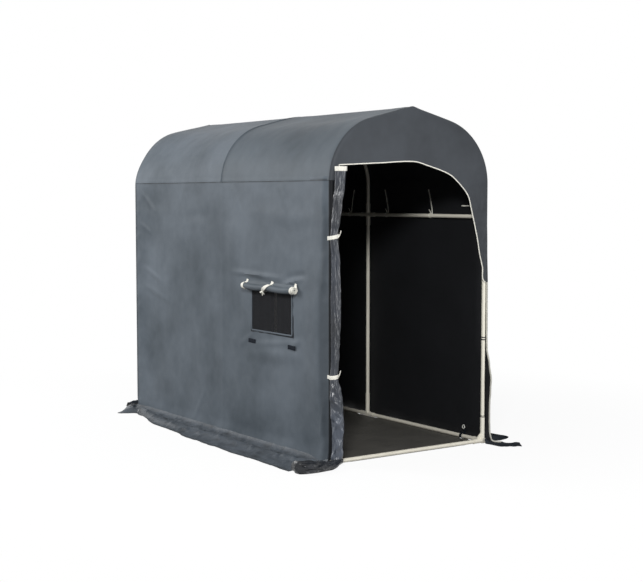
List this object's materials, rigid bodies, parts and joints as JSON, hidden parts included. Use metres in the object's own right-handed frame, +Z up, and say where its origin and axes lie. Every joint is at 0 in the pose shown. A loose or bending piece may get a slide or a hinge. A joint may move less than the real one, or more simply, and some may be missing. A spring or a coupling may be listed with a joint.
{
  "type": "bike shelter",
  "caption": "Fabric bike shelter: tubular steel hoops under a grey cover with a pitched rounded roof, rolled-up side door, mesh window with rolled flap and ground skirts.",
  "frame": {"origin": "on the ground, at the middle of the frame's footprint, half way between the left and right posts and between the front and rear hoops", "axes": "+X to the right as seen from the open front, +Y from the front to the rear along the ridge, +Z up"},
  "size_m": [1.2778, 2.2335, 1.5951],
  "materials": {
    "frame_steel": "cream powder-coated steel tube",
    "cover_cloth": "charcoal coated polyester oxford cloth",
    "skirt_cloth": "dark coated side of the polyester cloth",
    "binding_tape": "cream woven polyester tape",
    "dark_tape": "dark grey hook-and-loop and woven tape",
    "window_net": "dark polyester insect net",
    "floor_sheet": "dark woven polyethylene groundsheet",
    "button_plastic": "cream moulded plastic"
  },
  "bodies": {
    "root": {"corner_feet": "frame_steel", "middle_feet": "frame_steel", "front_posts": "frame_steel", "middle_posts": "frame_steel", "rear_posts": "frame_steel", "corner_side_joints": "frame_steel", "middle_side_joints": "frame_steel", "front_roof_bows": "frame_steel", "middle_roof_bows": "frame_steel", "rear_roof_bows": "frame_steel", "ridge_joints": "frame_steel", "ridge_pole": "frame_steel", "left_side_rail": "frame_steel", "right_side_rail": "frame_steel", "left_base_rail": "frame_steel", "right_base_rail": "frame_steel", "front_base_bar": "frame_steel", "rear_base_bar": "frame_steel", "left_wall": "cover_cloth", "right_wall": "cover_cloth", "rear_wall": "cover_cloth", "front_gable": "cover_cloth", "front_roof_panel": "cover_cloth", "rear_roof_panel": "cover_cloth", "door_roll": "cover_cloth", "zip_strip": "cover_cloth", "door_trim": "binding_tape", "door_straps": "binding_tape", "window_mesh": "window_net", "window_flap": "cover_cloth", "window_ties": "binding_tape", "window_patches": "dark_tape", "left_skirt": "skirt_cloth", "right_skirt": "skirt_cloth", "rear_skirt": "skirt_cloth", "door_skirt": "skirt_cloth", "front_skirt_tab": "skirt_cloth", "groundsheet": "floor_sheet", "side_rail_ties": "binding_tape", "base_ties": "dark_tape", "base_tie_buttons": "button_plastic", "post_bands": "dark_tape"}
  },
  "joints": []
}
